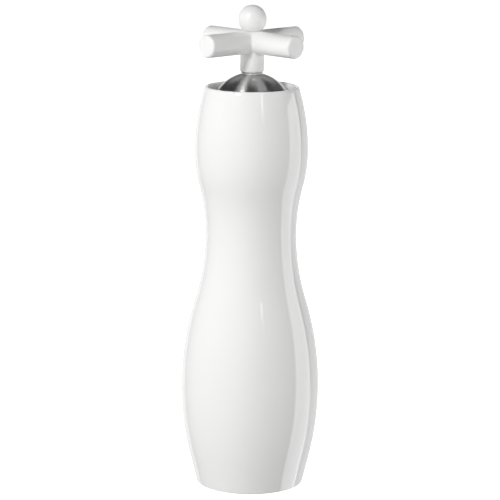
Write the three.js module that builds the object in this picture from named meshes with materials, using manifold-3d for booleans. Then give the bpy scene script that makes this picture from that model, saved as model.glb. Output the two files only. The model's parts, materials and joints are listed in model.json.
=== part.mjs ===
// Pepper mill: a waisted, white-lacquered wooden body with a steel dome in its neck, a cross handle and a ball knob.
//
// Millimetres, +Z up. The origin is the centre of the base, on the surface that the mill stands on. The spindle runs
// up the Z axis, and the four arms of the handle point along X and Y. The grinder is shown at its coarsest setting.
//
// How it comes apart: the knob unscrews from the drive shaft, the cross handle and the dome lift off for filling,
// and the grinder drops out of the base once its retaining bar is unscrewed.

import * as THREE from "three";
import { mergeVertices } from "three/addons/utils/BufferGeometryUtils.js";
import Module from "manifold-3d";

const wasm = await Module();
wasm.setup();

// ---------------------------------------------------------------- driving dimensions

const GAP = 0.3; // left between pieces that touch
const SEGMENTS = 28; // round a turned piece
const BODY_SEGMENTS = 40; // round the body and the dome

// The body's outline is three stations, joined by circular arcs that are tangent to each other.
const BODY_HEIGHT = 234;
const BELLY = { z: 57.5, r: 40, arc: 174.5 };
const WAIST = { z: 148.3, r: 26.3 };
const SHOULDER = { z: 196.7, r: 32.6, arcBelow: 79.7, arcAbove: 127 };
const FOOT_TAPER_TOP = 16; // the side runs straight down from here
const FOOT_ROUND = 0.8;
const LIP_ROUND = 1.2;

// The body's bores, from the neck down.
const LEDGE_Z = 216; // the neck ledge that the dome's plug rests on
const CHAMBER_R = 18;
const GRINDER_SEAT = { r: 20, top: 42 };
const FOOT_RECESS = { r: 25, top: 9 };

// Dome and its plug.
const DOME = { r: 24.6, centreZ: 217.4, wall: 0.8, crownR: 6.2, hole: 5.7 };
const CROWN_Z = DOME.centreZ + Math.sqrt(DOME.r ** 2 - DOME.crownR ** 2);
const BUSH = { bore: 4.4, r: 5.4, flangeR: 6.1, flange: 0.4, bottom: 210.5 };
const BUSH_NUT = { corner: 8.1, height: 3.4 };

// Cross handle and knob.
const ARM = { r: 6.55, reach: 36, z: 259.3, round: 1.5 };
const STEM = { r: 6.9, bottom: 242.1, round: 1.2 };
const SOCKET = { r: 5.2, bottom: 243.4, top: 258, square: 6.5 };
const KNOB = { r: 8.2, z: 272.4, flatZ: 265.5, bore: 4.1, boreTop: 275 };

// Drive shaft: a square bar with a turned thread at each end.
const SHAFT = { square: 6, cornerR: 4, bottom: 10.9, top: 259.5 };
const THREAD = { r: 2.5, top: 271.4, bottom: 3.6, chamfer: 0.5 };

// Grinder. The stator's teeth face a rotor cone that opens downwards, so lifting the rotor closes the gap.
const TOOTH_DEPTH = { stator: 0.9, rotor: 1.2 };
const TEETH = { stator: 18, rotor: 12 };
const TOOTH_TWIST = 0.06; // radians of helix per millimetre of height
const STATOR = { r: 17.1, bottom: 12.3, throatZ: 19.3, top: 26.3, bottomR: 13, throatR: 10.8, topR: 14.8 };
const ROTOR = { bottom: 10.8, top: 24.8, topR: 6.3, gap: 0.85 };
const ROTOR_NUT = { corner: 4.6, height: 2.7 };
const SCREW = { x: 22.6, r: 1.2, headR: 2.4, head: 1.7, shankTop: 16, tip: 18.5 };
const SCREW_SLOT = { length: 2.4, width: 0.6, depth: 0.8 };
const BAR = { bottom: 4.3, top: 6.1, halfLength: 24.4, halfWidth: 4.5 };
const SPRING = { wire: 0.6, r: 5.8, turns: 3, bottom: 25.8, top: 32.9 };
const SPRING_WASHER = { r: 7.2, bottom: 33.8, top: 34.6 };

// ---------------------------------------------------------------- geometry helpers

/** A turned piece: an outline of [r, z] points, anticlockwise, spun about +Z. It closes itself off the axis. */
function turned(outline, segments = SEGMENTS) {
  const points = outline.map(([r, z]) => new THREE.Vector2(r, z));
  if (outline[0][0] > 0) points.push(points[0].clone());
  return new THREE.LatheGeometry(points, segments).rotateX(Math.PI / 2);
}

/** A flat shape in XY, extruded from z0 up to z1. */
function extruded(shape, z0, z1, curveSegments = 8) {
  const settings = { depth: z1 - z0, bevelEnabled: false, curveSegments };
  return new THREE.ExtrudeGeometry(shape, settings).translate(0, 0, z0);
}

/** A plain ring or washer. */
const ring = (inner, outer, z0, z1, segments) =>
  turned([[inner, z0], [outer, z0], [outer, z1], [inner, z1]], segments);

/** A plain round bar, used as a piece or as a cutter. */
const rod = (r, z0, z1, segments) => turned([[0, z0], [r, z0], [r, z1], [0, z1]], segments);

/** Points on an arc about (r, z), angles in degrees from +r towards +z. */
function arc(r, z, radius, from, to, steps) {
  return Array.from({ length: steps + 1 }, (_, i) => {
    const angle = THREE.MathUtils.degToRad(from + ((to - from) * i) / steps);
    return [r + radius * Math.cos(angle), z + radius * Math.sin(angle)];
  });
}

function toSolid(geometry) {
  const bare = new THREE.BufferGeometry().setAttribute("position", geometry.getAttribute("position"));
  bare.setIndex(geometry.getIndex());
  const merged = mergeVertices(bare, 1e-4);
  const vertProperties = merged.getAttribute("position").array;
  const triVerts = new Uint32Array(merged.getIndex().array);
  return new wasm.Manifold(new wasm.Mesh({ numProp: 3, vertProperties, triVerts }));
}

function toGeometry(solid) {
  const { vertProperties, triVerts } = solid.getMesh();
  const geometry = new THREE.BufferGeometry();
  geometry.setAttribute("position", new THREE.BufferAttribute(vertProperties, 3));
  return geometry.setIndex(new THREE.BufferAttribute(triVerts, 1));
}

const joined = (first, ...others) =>
  toGeometry(others.reduce((solid, other) => solid.add(toSolid(other)), toSolid(first)));

const cut = (base, ...tools) =>
  toGeometry(tools.reduce((solid, tool) => solid.subtract(toSolid(tool)), toSolid(base)));

/** A regular polygon with its first corner on +X. */
function polygon(corners, radius) {
  const angles = Array.from({ length: corners }, (_, i) => (2 * Math.PI * i) / corners);
  return new THREE.Shape(angles.map((a) => new THREE.Vector2(radius * Math.cos(a), radius * Math.sin(a))));
}

/** A square of this side, flats facing X and Y, its corners turned down to cornerR. */
function squareBar(side, cornerR = side) {
  const half = side / 2;
  const flat = Math.min(half, Math.sqrt(cornerR ** 2 - half ** 2));
  const points = [0, 1, 2, 3].flatMap((quarter) => {
    const turn = (x, y) => new THREE.Vector2(x, y).rotateAround(new THREE.Vector2(), (quarter * Math.PI) / 2);
    return flat < half ? [turn(half, -flat), turn(half, flat)] : [turn(half, half)];
  });
  return new THREE.Shape(points);
}

function circle(shape, x, y, r) {
  const hole = new THREE.Path();
  hole.absarc(x, y, r, 0, 2 * Math.PI, false);
  shape.holes.push(hole);
  return shape;
}

/** Moves each wall vertex that test picks in or out, so that the wall carries helical teeth. */
function toothed(geometry, count, depth, twist, picks) {
  const position = geometry.getAttribute("position");
  for (let i = 0; i < position.count; i++) {
    const [x, y, z] = [position.getX(i), position.getY(i), position.getZ(i)];
    const radius = Math.hypot(x, y);
    if (!picks(radius, z)) continue;
    const phase = (count * (Math.atan2(y, x) + twist * z)) / (2 * Math.PI);
    const scale = 1 + (depth * Math.abs(2 * (phase - Math.floor(phase)) - 1)) / radius;
    position.setXY(i, x * scale, y * scale);
  }
  return geometry;
}

class Helix extends THREE.Curve {
  constructor(radius, z0, z1, turns) {
    super();
    Object.assign(this, { radius, z0, z1, turns });
  }

  getPoint(t, target = new THREE.Vector3()) {
    const angle = 2 * Math.PI * this.turns * t;
    const z = THREE.MathUtils.lerp(this.z0, this.z1, t);
    return target.set(this.radius * Math.cos(angle), this.radius * Math.sin(angle), z);
  }
}

// ---------------------------------------------------------------- the body's outline

const drop = (radius, dz) => radius - Math.sqrt(radius ** 2 - dz ** 2);

/** From a bulge whose arc is known to the waist: the waist's arc, and the height where the two arcs meet. */
function blendToWaist(bulge, bulgeArc) {
  const dr = bulge.r - WAIST.r;
  const dz = WAIST.z - bulge.z;
  const bothArcs = (dr ** 2 + dz ** 2) / (2 * dr);
  return { arc: bothArcs - bulgeArc, meetZ: bulge.z + (dz * bulgeArc) / bothArcs };
}

const LOWER_BLEND = blendToWaist(BELLY, BELLY.arc);
const UPPER_BLEND = blendToWaist(SHOULDER, SHOULDER.arcBelow);

const FOOT_SLOPE = (BELLY.z - FOOT_TAPER_TOP) / Math.sqrt(BELLY.arc ** 2 - (BELLY.z - FOOT_TAPER_TOP) ** 2);

/** The body's outer radius at a height. */
function bodyRadius(z) {
  if (z < FOOT_TAPER_TOP) return bodyRadius(FOOT_TAPER_TOP) - FOOT_SLOPE * (FOOT_TAPER_TOP - z);
  if (z < LOWER_BLEND.meetZ) return BELLY.r - drop(BELLY.arc, z - BELLY.z);
  if (z < WAIST.z) return WAIST.r + drop(LOWER_BLEND.arc, z - WAIST.z);
  if (z < UPPER_BLEND.meetZ) return WAIST.r + drop(UPPER_BLEND.arc, z - WAIST.z);
  if (z < SHOULDER.z) return SHOULDER.r - drop(SHOULDER.arcBelow, z - SHOULDER.z);
  return SHOULDER.r - drop(SHOULDER.arcAbove, z - SHOULDER.z);
}

/** The foot's round, tangent to the straight taper: its centre radius, and the angle of the tangent point. */
function footRound() {
  const r = bodyRadius(FOOT_ROUND) - FOOT_ROUND * Math.hypot(1, FOOT_SLOPE);
  return { r, z: FOOT_ROUND, angle: -THREE.MathUtils.radToDeg(Math.atan(FOOT_SLOPE)) };
}

/** The lip's round, tangent to the arc above the shoulder. */
function lipRound() {
  const z = BODY_HEIGHT - LIP_ROUND;
  const rise = z - SHOULDER.z;
  const reach = Math.sqrt((SHOULDER.arcAbove - LIP_ROUND) ** 2 - rise ** 2);
  const angle = THREE.MathUtils.radToDeg(Math.atan2(rise, reach));
  return { r: SHOULDER.r - SHOULDER.arcAbove + reach, z, angle };
}

const FOOT = footRound();
const LIP = lipRound();
const NECK_R = LIP.r - LIP_ROUND;

function millBody() {
  const foot = arc(FOOT.r, FOOT.z, FOOT_ROUND, -90, FOOT.angle, 4);
  const lip = arc(LIP.r, LIP.z, LIP_ROUND, LIP.angle, 180, 4);
  const [low, high] = [foot.at(-1)[1], lip[0][1]];
  const steps = 22;
  const side = Array.from({ length: steps - 1 }, (_, i) => {
    const z = low + ((high - low) * (i + 1)) / steps;
    return [bodyRadius(z), z];
  });
  const bores = [
    [NECK_R, LEDGE_Z],
    [CHAMBER_R, LEDGE_Z],
    [CHAMBER_R, GRINDER_SEAT.top],
    [GRINDER_SEAT.r, GRINDER_SEAT.top],
    [GRINDER_SEAT.r, FOOT_RECESS.top],
    [FOOT_RECESS.r, FOOT_RECESS.top],
    [FOOT_RECESS.r, 0],
  ];
  const pilotTop = SCREW.tip + 1.5;
  const pilots = [SCREW.x, -SCREW.x].map((x) => rod(SCREW.r + GAP, 0, pilotTop, 8).translate(x, 0, 0));
  return cut(turned([...foot, ...side, ...lip, ...bores], BODY_SEGMENTS), ...pilots);
}

// ---------------------------------------------------------------- the grinder, which stays in the body

const FLANGE = { r: 24.6, bottom: BAR.top + GAP, top: FOOT_RECESS.top - GAP };
const HOUSING = { bore: 17.4, lipR: 15.6, play: 0.4 };
const BRIDGE = { r: 18.1, bottom: 36.3, top: 38.8, rim: 16.2, boss: 8, hole: 5.6 };
const BRIDGE_BUSH = { r: 5.3, flangeR: 7, bottom: 34.9, top: 39.5 };

function grinderHousing() {
  const seatTop = BRIDGE.bottom - GAP;
  const outerR = GRINDER_SEAT.r - HOUSING.play;
  const top = GRINDER_SEAT.top - HOUSING.play;
  const body = turned([
    [HOUSING.lipR, FLANGE.bottom],
    [FLANGE.r, FLANGE.bottom],
    [FLANGE.r, FLANGE.top],
    [outerR, FLANGE.top],
    [outerR, top],
    [BRIDGE.r + GAP, top],
    [BRIDGE.r + GAP, seatTop],
    [HOUSING.bore, seatTop],
    [HOUSING.bore, STATOR.bottom - GAP],
    [HOUSING.lipR, STATOR.bottom - GAP],
  ]);
  const holes = [SCREW.x, -SCREW.x].map((x) => rod(SCREW.r + GAP, 0, STATOR.bottom, 8).translate(x, 0, 0));
  return cut(body, ...holes);
}

function statorRing() {
  const { r, bottom, throatZ, top, bottomR, throatR, topR } = STATOR;
  const outline = [[r, bottom], [r, top], [topR, top], [throatR, throatZ], [bottomR, bottom]];
  const blank = turned(outline, 3 * TEETH.stator);
  return toothed(blank, TEETH.stator, TOOTH_DEPTH.stator, TOOTH_TWIST, (radius) => radius < topR + 0.1);
}

function guideBridge() {
  const shape = new THREE.Shape().absarc(0, 0, BRIDGE.r, 0, 2 * Math.PI, false);
  const spokes = 3;
  const halfSpoke = 0.2; // radians at the rim
  for (let i = 0; i < spokes; i++) {
    const from = (2 * Math.PI * i) / spokes + halfSpoke;
    const to = (2 * Math.PI * (i + 1)) / spokes - halfSpoke;
    const window = new THREE.Path();
    window.absarc(0, 0, BRIDGE.rim, from, to, false);
    window.absarc(0, 0, BRIDGE.boss, to - halfSpoke / 2, from + halfSpoke / 2, true);
    shape.holes.push(window);
  }
  return extruded(circle(shape, 0, 0, BRIDGE.hole), BRIDGE.bottom, BRIDGE.top, 6);
}

function bridgeBush() {
  const { r, flangeR, bottom, top } = BRIDGE_BUSH;
  return turned([
    [BUSH.bore, bottom],
    [flangeR, bottom],
    [flangeR, BRIDGE.bottom - GAP],
    [r, BRIDGE.bottom - GAP],
    [r, top],
    [BUSH.bore, top],
  ]);
}

function retainingBar() {
  const { halfLength, halfWidth, bottom, top } = BAR;
  const end = halfLength - halfWidth;
  const shape = new THREE.Shape();
  shape.absarc(end, 0, halfWidth, -Math.PI / 2, Math.PI / 2, false);
  shape.absarc(-end, 0, halfWidth, Math.PI / 2, (3 * Math.PI) / 2, false);
  circle(shape, 0, 0, THREAD.r + 0.4);
  circle(shape, SCREW.x, 0, SCREW.r + GAP);
  circle(shape, -SCREW.x, 0, SCREW.r + GAP);
  return extruded(shape, bottom, top, 8);
}

/** A pan-head wood screw, point up, with a cross recess in the head. */
function housingScrew() {
  const { r, headR, head, shankTop, tip } = SCREW;
  const headTop = BAR.bottom - GAP;
  const headBottom = headTop - head;
  const edge = 0.6;
  const blank = turned(
    [
      [0, headBottom],
      [headR - edge, headBottom],
      [headR, headBottom + edge],
      [headR, headTop],
      [r, headTop],
      [r, shankTop],
      [0, tip],
    ],
    12,
  );
  const { length, width, depth } = SCREW_SLOT;
  const slot = new THREE.BoxGeometry(length, width, 2 * depth).translate(0, 0, headBottom);
  return cut(blank, slot, slot.clone().rotateZ(Math.PI / 2));
}

// ---------------------------------------------------------------- the dome, which lifts off for filling

const PLUG = { r: 23.3, spigotR: 17.4, wallR: 14, bottom: 203, bossR: 7.6, web: 3.1 };
const SEAL = { z: 208.7, r: 16.75, wire: 1, groove: 1.7, grooveR: 15.6 };

function domeCover() {
  const inner = DOME.r - DOME.wall;
  const crownAngle = (radius, r) => THREE.MathUtils.radToDeg(Math.acos(r / radius));
  const innerCrownR = Math.sqrt(inner ** 2 - (CROWN_Z - DOME.wall - DOME.centreZ) ** 2);
  const bottom = LEDGE_Z + 0.5;
  return turned(
    [
      [DOME.r, bottom],
      ...arc(0, DOME.centreZ, DOME.r, 0, crownAngle(DOME.r, DOME.crownR), 7),
      [DOME.hole, CROWN_Z],
      [DOME.hole, CROWN_Z - DOME.wall],
      ...arc(0, DOME.centreZ, inner, crownAngle(inner, innerCrownR), 0, 7),
      [inner, bottom],
    ],
    BODY_SEGMENTS,
  );
}

function domePlug() {
  const base = LEDGE_Z + GAP;
  const boss = CROWN_Z - DOME.wall - 3 * GAP;
  const boreR = BUSH.r + GAP;
  return turned([
    [boreR, base],
    [PLUG.wallR, base],
    [PLUG.wallR, PLUG.bottom],
    [PLUG.spigotR, PLUG.bottom],
    [PLUG.spigotR, SEAL.z - SEAL.groove],
    [SEAL.grooveR, SEAL.z - SEAL.groove],
    [SEAL.grooveR, SEAL.z + SEAL.groove],
    [PLUG.spigotR, SEAL.z + SEAL.groove],
    [PLUG.spigotR, base],
    [PLUG.r, base],
    [PLUG.r, base + PLUG.web],
    [PLUG.bossR, base + PLUG.web],
    [PLUG.bossR, boss],
    [boreR, boss],
  ]);
}

const plugSeal = () => new THREE.TorusGeometry(SEAL.r, SEAL.wire, 6, SEGMENTS).translate(0, 0, SEAL.z);

function domeBush() {
  const flangeBottom = CROWN_Z + 0.2;
  return turned(
    [
      [BUSH.bore, BUSH.bottom],
      [BUSH.r, BUSH.bottom],
      [BUSH.r, flangeBottom],
      [BUSH.flangeR, flangeBottom],
      [BUSH.flangeR, flangeBottom + BUSH.flange],
      [BUSH.bore, flangeBottom + BUSH.flange],
    ],
    24,
  );
}

function bushNut() {
  const top = LEDGE_Z;
  return extruded(circle(polygon(6, BUSH_NUT.corner), 0, 0, BUSH.r + GAP), top - BUSH_NUT.height, top, 12);
}

// ---------------------------------------------------------------- the cross handle

/** A bar along X with rounded ends: two opposite arms of the cross. */
function armPair() {
  const { r, reach, round } = ARM;
  const near = arc(r - round, -reach + round, round, -90, 0, 3);
  const far = arc(r - round, reach - round, round, 0, 90, 3);
  return turned([[0, -reach], ...near, ...far, [0, reach]], SEGMENTS).rotateY(Math.PI / 2);
}

function crossHandle() {
  const armsX = armPair().translate(0, 0, ARM.z);
  const armsY = armPair().rotateZ(Math.PI / 2).translate(0, 0, ARM.z);
  const foot = arc(STEM.r - STEM.round, STEM.bottom + STEM.round, STEM.round, -90, 0, 3);
  const stem = turned([[0, STEM.bottom], ...foot, [STEM.r, ARM.z], [0, ARM.z]]);
  const squareLift = 2.2; // room above the square for the shaft to rise
  const bore = turned([
    [0, STEM.bottom - 1],
    [SOCKET.r + GAP, STEM.bottom - 1],
    [SOCKET.r + GAP, SOCKET.top + GAP],
    [SHAFT.cornerR + 0.5, SOCKET.top + GAP],
    [SHAFT.cornerR + 0.5, SHAFT.top + squareLift],
    [THREAD.r + 0.6, SHAFT.top + squareLift],
    [THREAD.r + 0.6, KNOB.z],
    [0, KNOB.z],
  ]);
  const knobSeat = new THREE.SphereGeometry(KNOB.r + GAP, 20, 12).rotateX(Math.PI / 2).translate(0, 0, KNOB.z);
  return cut(joined(armsX, armsY, stem), bore, knobSeat);
}

/** The steel sleeve pressed into the stem: round outside, square inside. */
function handleSocket() {
  const shape = new THREE.Shape().absarc(0, 0, SOCKET.r, 0, 2 * Math.PI, false);
  shape.holes.push(new THREE.Path(squareBar(SOCKET.square).getPoints()));
  return extruded(shape, SOCKET.bottom, SOCKET.top, 12);
}

const handleWasher = () => ring(BUSH.bore, SOCKET.r, SOCKET.bottom - 1.35, SOCKET.bottom - GAP, 24);

// ---------------------------------------------------------------- the knob

function knobBall() {
  const flatR = Math.sqrt(KNOB.r ** 2 - (KNOB.z - KNOB.flatZ) ** 2);
  const flatAngle = -THREE.MathUtils.radToDeg(Math.acos(flatR / KNOB.r));
  const ball = arc(0, KNOB.z, KNOB.r, flatAngle, 82, 9);
  const top = [0, KNOB.z + KNOB.r];
  return turned([[0, KNOB.boreTop], [KNOB.bore, KNOB.boreTop], [KNOB.bore, KNOB.flatZ], ...ball, top], 24);
}

function knobInsert() {
  const [bottom, top] = [KNOB.flatZ + GAP, KNOB.boreTop - GAP];
  const outer = KNOB.bore - GAP;
  const bore = THREAD.r + GAP;
  return turned([[0, top - 1.1], [bore, top - 1.1], [bore, bottom], [outer, bottom], [outer, top], [0, top]], 20);
}

// ---------------------------------------------------------------- the spindle: what turns with the shaft

function driveShaft() {
  const { r, top, bottom, chamfer } = THREAD;
  const bar = extruded(squareBar(SHAFT.square, SHAFT.cornerR), SHAFT.bottom, SHAFT.top);
  const outline = [[0, bottom], [r - chamfer, bottom], [r, bottom + chamfer], [r, top - chamfer], [r - chamfer, top]];
  return joined(bar, turned([...outline, [0, top]], 16));
}

/** The rotor's tooth-tip radius at a height of its grinding cone, which runs beside the stator's. */
function rotorTip(z) {
  const slope = (STATOR.throatR - STATOR.bottomR) / (STATOR.throatZ - STATOR.bottom);
  return STATOR.bottomR + slope * (z - STATOR.bottom) - ROTOR.gap;
}

function rotor() {
  const root = (z) => rotorTip(z) - TOOTH_DEPTH.rotor;
  const coneZ = [ROTOR.bottom + 0.8, STATOR.throatZ - 4, STATOR.throatZ];
  const cone = coneZ.map((z) => [root(z), z]);
  const shoulder = [ROTOR.topR, ROTOR.top];
  const foot = [root(ROTOR.bottom) - 0.5, ROTOR.bottom];
  const blank = turned([[0, ROTOR.bottom], foot, ...cone, shoulder, [0, ROTOR.top]], 4 * TEETH.rotor);
  const onCone = (radius, z) => radius > ROTOR.topR + 0.1 && z > ROTOR.bottom + 0.1;
  const teeth = toothed(blank, TEETH.rotor, TOOTH_DEPTH.rotor, -TOOTH_TWIST, onCone);
  return cut(teeth, extruded(squareBar(SHAFT.square + 2 * GAP), ROTOR.bottom - 1, ROTOR.top + 1));
}

const rotorWasher = () => ring(THREAD.r + GAP, 6, ROTOR.bottom - 1, ROTOR.bottom - GAP, 24);

function rotorNut() {
  const top = ROTOR.bottom - 1.3;
  return extruded(circle(polygon(6, ROTOR_NUT.corner), 0, 0, THREAD.r + GAP), top - ROTOR_NUT.height, top, 12);
}

const springWasher = () => ring(BUSH.bore, SPRING_WASHER.r, SPRING_WASHER.bottom, SPRING_WASHER.top, 24);

function grinderSpring() {
  const wire = new THREE.Shape().absarc(0, 0, SPRING.wire, 0, 2 * Math.PI, false);
  const path = new Helix(SPRING.r, SPRING.bottom, SPRING.top, SPRING.turns);
  const steps = Math.round(12 * SPRING.turns);
  return new THREE.ExtrudeGeometry(wire, { steps, extrudePath: path, curveSegments: 3 });
}

// ---------------------------------------------------------------- materials

const paint = (color, roughness, metalness) => new THREE.MeshStandardMaterial({ color, roughness, metalness });

const lacquer = paint(0xf2f2f0, 0.18, 0);
const brushedSteel = paint(0xa8abad, 0.32, 1);
const plainSteel = paint(0x9a9da0, 0.35, 1);
const hardenedSteel = paint(0x5b5e61, 0.45, 1);
const brass = paint(0xc9a659, 0.3, 1);
const nylon = paint(0xe6e5df, 0.5, 0);
const blackNylon = paint(0x222324, 0.5, 0);
const silicone = paint(0xc9cdcf, 0.6, 0);

// ---------------------------------------------------------------- assembly

const mill = new THREE.Group();

function add(name, geometry, material, x = 0) {
  const mesh = new THREE.Mesh(geometry, material);
  mesh.name = name;
  mesh.position.x = x;
  mill.add(mesh);
}

add("mill_body", millBody(), lacquer);
add("grinder_housing", grinderHousing(), nylon);
add("stator_ring", statorRing(), hardenedSteel);
add("guide_bridge", guideBridge(), plainSteel);
add("bridge_bush", bridgeBush(), blackNylon);
add("retaining_bar", retainingBar(), plainSteel);
add("housing_screw_left", housingScrew(), plainSteel, -SCREW.x);
add("housing_screw_right", housingScrew(), plainSteel, SCREW.x);

add("dome_cover", domeCover(), brushedSteel);
add("dome_plug", domePlug(), nylon);
add("plug_seal", plugSeal(), silicone);
add("dome_bush", domeBush(), nylon);
add("bush_nut", bushNut(), plainSteel);

add("cross_handle", crossHandle(), lacquer);
add("handle_socket", handleSocket(), plainSteel);
add("handle_washer", handleWasher(), blackNylon);

add("knob_ball", knobBall(), lacquer);
add("knob_insert", knobInsert(), brass);

add("spring_washer", springWasher(), plainSteel);
add("grinder_spring", grinderSpring(), plainSteel);

add("drive_shaft", driveShaft(), plainSteel);
add("rotor", rotor(), hardenedSteel);
add("rotor_washer", rotorWasher(), plainSteel);
add("rotor_nut", rotorNut(), plainSteel);

export default mill;
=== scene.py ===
"""The looks of the pepper mill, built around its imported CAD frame.

Every CAD node is replaced by a finer piece in the same place. Lengths in the piece builders are in
millimetres, and MM turns them into Blender's metres. The lamps stand at angles from the camera's HEADING.
"""

import cmath
import json
import math

import bmesh
import bpy
import numpy as np
from mathutils import Matrix, Quaternion, Vector
from mathutils.geometry import tessellate_polygon


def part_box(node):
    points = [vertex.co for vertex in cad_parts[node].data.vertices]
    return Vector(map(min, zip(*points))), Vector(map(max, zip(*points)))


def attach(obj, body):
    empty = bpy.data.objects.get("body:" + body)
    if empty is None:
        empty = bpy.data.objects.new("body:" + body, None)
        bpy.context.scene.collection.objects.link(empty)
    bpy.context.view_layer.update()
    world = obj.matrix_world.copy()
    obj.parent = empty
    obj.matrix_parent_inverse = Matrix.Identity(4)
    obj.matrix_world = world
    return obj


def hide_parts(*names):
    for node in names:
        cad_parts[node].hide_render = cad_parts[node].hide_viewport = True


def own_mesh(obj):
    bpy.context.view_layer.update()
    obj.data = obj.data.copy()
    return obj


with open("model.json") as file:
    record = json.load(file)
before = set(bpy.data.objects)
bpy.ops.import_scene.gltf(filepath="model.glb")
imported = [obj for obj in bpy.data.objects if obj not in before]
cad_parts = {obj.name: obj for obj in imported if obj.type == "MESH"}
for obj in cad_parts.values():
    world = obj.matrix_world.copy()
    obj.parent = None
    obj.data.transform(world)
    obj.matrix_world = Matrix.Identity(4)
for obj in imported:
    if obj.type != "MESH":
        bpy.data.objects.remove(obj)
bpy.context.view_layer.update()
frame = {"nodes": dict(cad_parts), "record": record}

# ------------------------------------------------------------------ driving dimensions, in millimetres

MM = 0.001
GAP = 0.3  # between the CAD pieces that touch
SHARP = 28  # degrees: edges that turn more stay crisp

# The body's outline: three stations joined by tangent arcs.
BELLY_Z, BELLY_R, BELLY_ARC = 57.5, 40.0, 174.5
WAIST_Z, WAIST_R = 148.3, 26.3
SHOULDER_Z, SHOULDER_R, SHOULDER_ARC_BELOW, SHOULDER_ARC_ABOVE = 196.7, 32.6, 79.7, 127.0
FOOT_TAPER_TOP, FOOT_ROUND, LIP_ROUND = 16.0, 0.8, 1.2
CHAMBER_R, GRINDER_SEAT_R, GRINDER_SEAT_TOP, FOOT_RECESS_R, FOOT_RECESS_TOP = 18.0, 20.0, 42.0, 25.0, 9.0
LEDGE_Z = 216.0

ARM_R, ARM_ROUND = 6.55, 1.5
STEM_R, STEM_ROUND = 6.9, 1.2
CREASE = 1.0  # how softly the lacquer fills the creases of the cross
VOXEL = 0.36  # the size of the cross's faces
SMOOTHING = (0.5, 0.5, 0.5, 0.4, 0.4, 0.3, 0.2, 0.1, 0, 0)  # how much each pass evens them out
SEAT_GAP, SEAT_EDGE = 0.06, 0.15  # where the ball sits in the cross
WELL_R, WELL_DEPTH, SHAFT_HOLE_R = 4.5, 3.4, 3.1  # the stem's bores above the socket
BORE_START, BORE_EDGE = 5, 0.3  # how far below the stem its bores start, and the softness of their edges
THREAD_PITCH, THREAD_DEPTH, THREAD_R = 0.8, 0.45, 2.5
SQUARE_HALF, SQUARE_CORNER_R = 3.0, 4.0
SCREW_R = 1.2
DOME_WALL, CROWN_R, CROWN_HOLE = 0.8, 6.2, 5.6

# The grinder: the ring's mouth narrows to a throat and opens again below it, and the cone follows it.
MOUTH_TOP_R, THROAT_R, MOUTH_LOW_R, THROAT_RISE = 14.8, 10.8, 13.0, 7
STATOR_TEETH, ROTOR_TEETH, TOOTH_TWIST = 18, 12, 0.06
STATOR_TOOTH, ROTOR_TOOTH = 0.9, 1.2

# The camera and the room. LENS, SENSOR and FLOOR_Z are in millimetres, and the other lengths in metres.
HEADING = 46.5  # the camera's bearing, in degrees: 0 looks along +Y and 90 along -X
PITCH = 11.5
ROLL = 0.38
DISTANCE = 1.435
LENS, SENSOR = 178.1, 36
AIM = Vector((0, 0, 0.1382))
SIDESTEP = -0.0005  # of the camera, to its right
AMBIENT = 0.06  # how bright the room is as a light: to the camera it is white
FLOOR_Z, FLOOR_GLOW = -0.1, 1.0  # just clear of the mill's foot, and as bright as the room behind
FLOOR_REACH = 8.0


def extent(node):
    """A CAD node's lowest z, highest z and reach along +X, in millimetres."""
    low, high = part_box(node)
    return low.z / MM, high.z / MM, high.x / MM


# ------------------------------------------------------------------ mesh helpers


def mesh_object(name, points, faces, sharp=SHARP):
    """A smooth mesh from points in millimetres. Edges that turn more than sharp degrees stay crisp."""
    mesh = bpy.data.meshes.new(name)
    mesh.from_pydata((np.asarray(points, float) * MM).tolist(), [], faces)
    work = bmesh.new()
    work.from_mesh(mesh)
    bmesh.ops.recalc_face_normals(work, faces=work.faces)
    work.to_mesh(mesh)
    work.free()
    mesh.shade_smooth()
    mesh.set_sharp_from_angle(angle=math.radians(sharp))
    made = bpy.data.objects.new(name, mesh)
    bpy.context.scene.collection.objects.link(made)
    return made


def spin(name, outline, segments=128, shape=None, sharp=SHARP):
    """Turns an outline of (r, z) points about +Z. It is closed unless it starts and ends on the axis.

    shape(r, z, angle), where given, returns each point's own radius, for teeth, flats and the like.
    """
    points, rows = [], []
    for r, z in outline:
        count = 1 if r < 1e-6 else segments
        rows.append(range(len(points), len(points) + count))
        for angle in np.arange(count) * 2 * math.pi / segments:
            reach = shape(r, z, angle) if shape else r
            points.append((reach * math.cos(angle), reach * math.sin(angle), z))
    pairs = list(zip(rows, rows[1:]))
    if len(rows[0]) > 1:
        pairs.append((rows[-1], rows[0]))
    faces = []
    for low, high in pairs:
        for i in range(segments):
            j = (i + 1) % segments
            ring = (low[i % len(low)], low[j % len(low)], high[j % len(high)], high[i % len(high)])
            faces.append(tuple(dict.fromkeys(ring)))
    return mesh_object(name, points, faces, sharp)


def rounded(corners, steps=4):
    """An outline whose corners are turned to small arcs. A corner is (r, z) or (r, z, radius)."""
    outline = []
    for i, corner in enumerate(corners):
        here = complex(*corner[:2])
        radius = corner[2] if len(corner) > 2 else 0
        if radius == 0:
            outline.append((here.real, here.imag))
            continue
        back = complex(*corners[i - 1][:2]) - here
        ahead = complex(*corners[(i + 1) % len(corners)][:2]) - here
        u, v = back / abs(back), ahead / abs(ahead)
        half = abs(cmath.phase(v / u)) / 2
        reach = min(radius / math.tan(half), 0.48 * abs(back), 0.48 * abs(ahead))
        centre = here + (u + v) / abs(u + v) * reach / math.cos(half)
        start = here + u * reach - centre
        sweep = cmath.phase((here + v * reach - centre) / start)
        for k in range(steps + 1):
            point = centre + start * cmath.exp(1j * sweep * k / steps)
            outline.append((point.real, point.imag))
    return outline


def arc(r, z, radius, start, end, steps):
    """Points on an arc about (r, z), from one angle to the other, in degrees from +r towards +z."""
    angles = np.radians(np.linspace(start, end, steps + 1))
    return [(r + radius * math.cos(a), z + radius * math.sin(a)) for a in angles]


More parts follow.
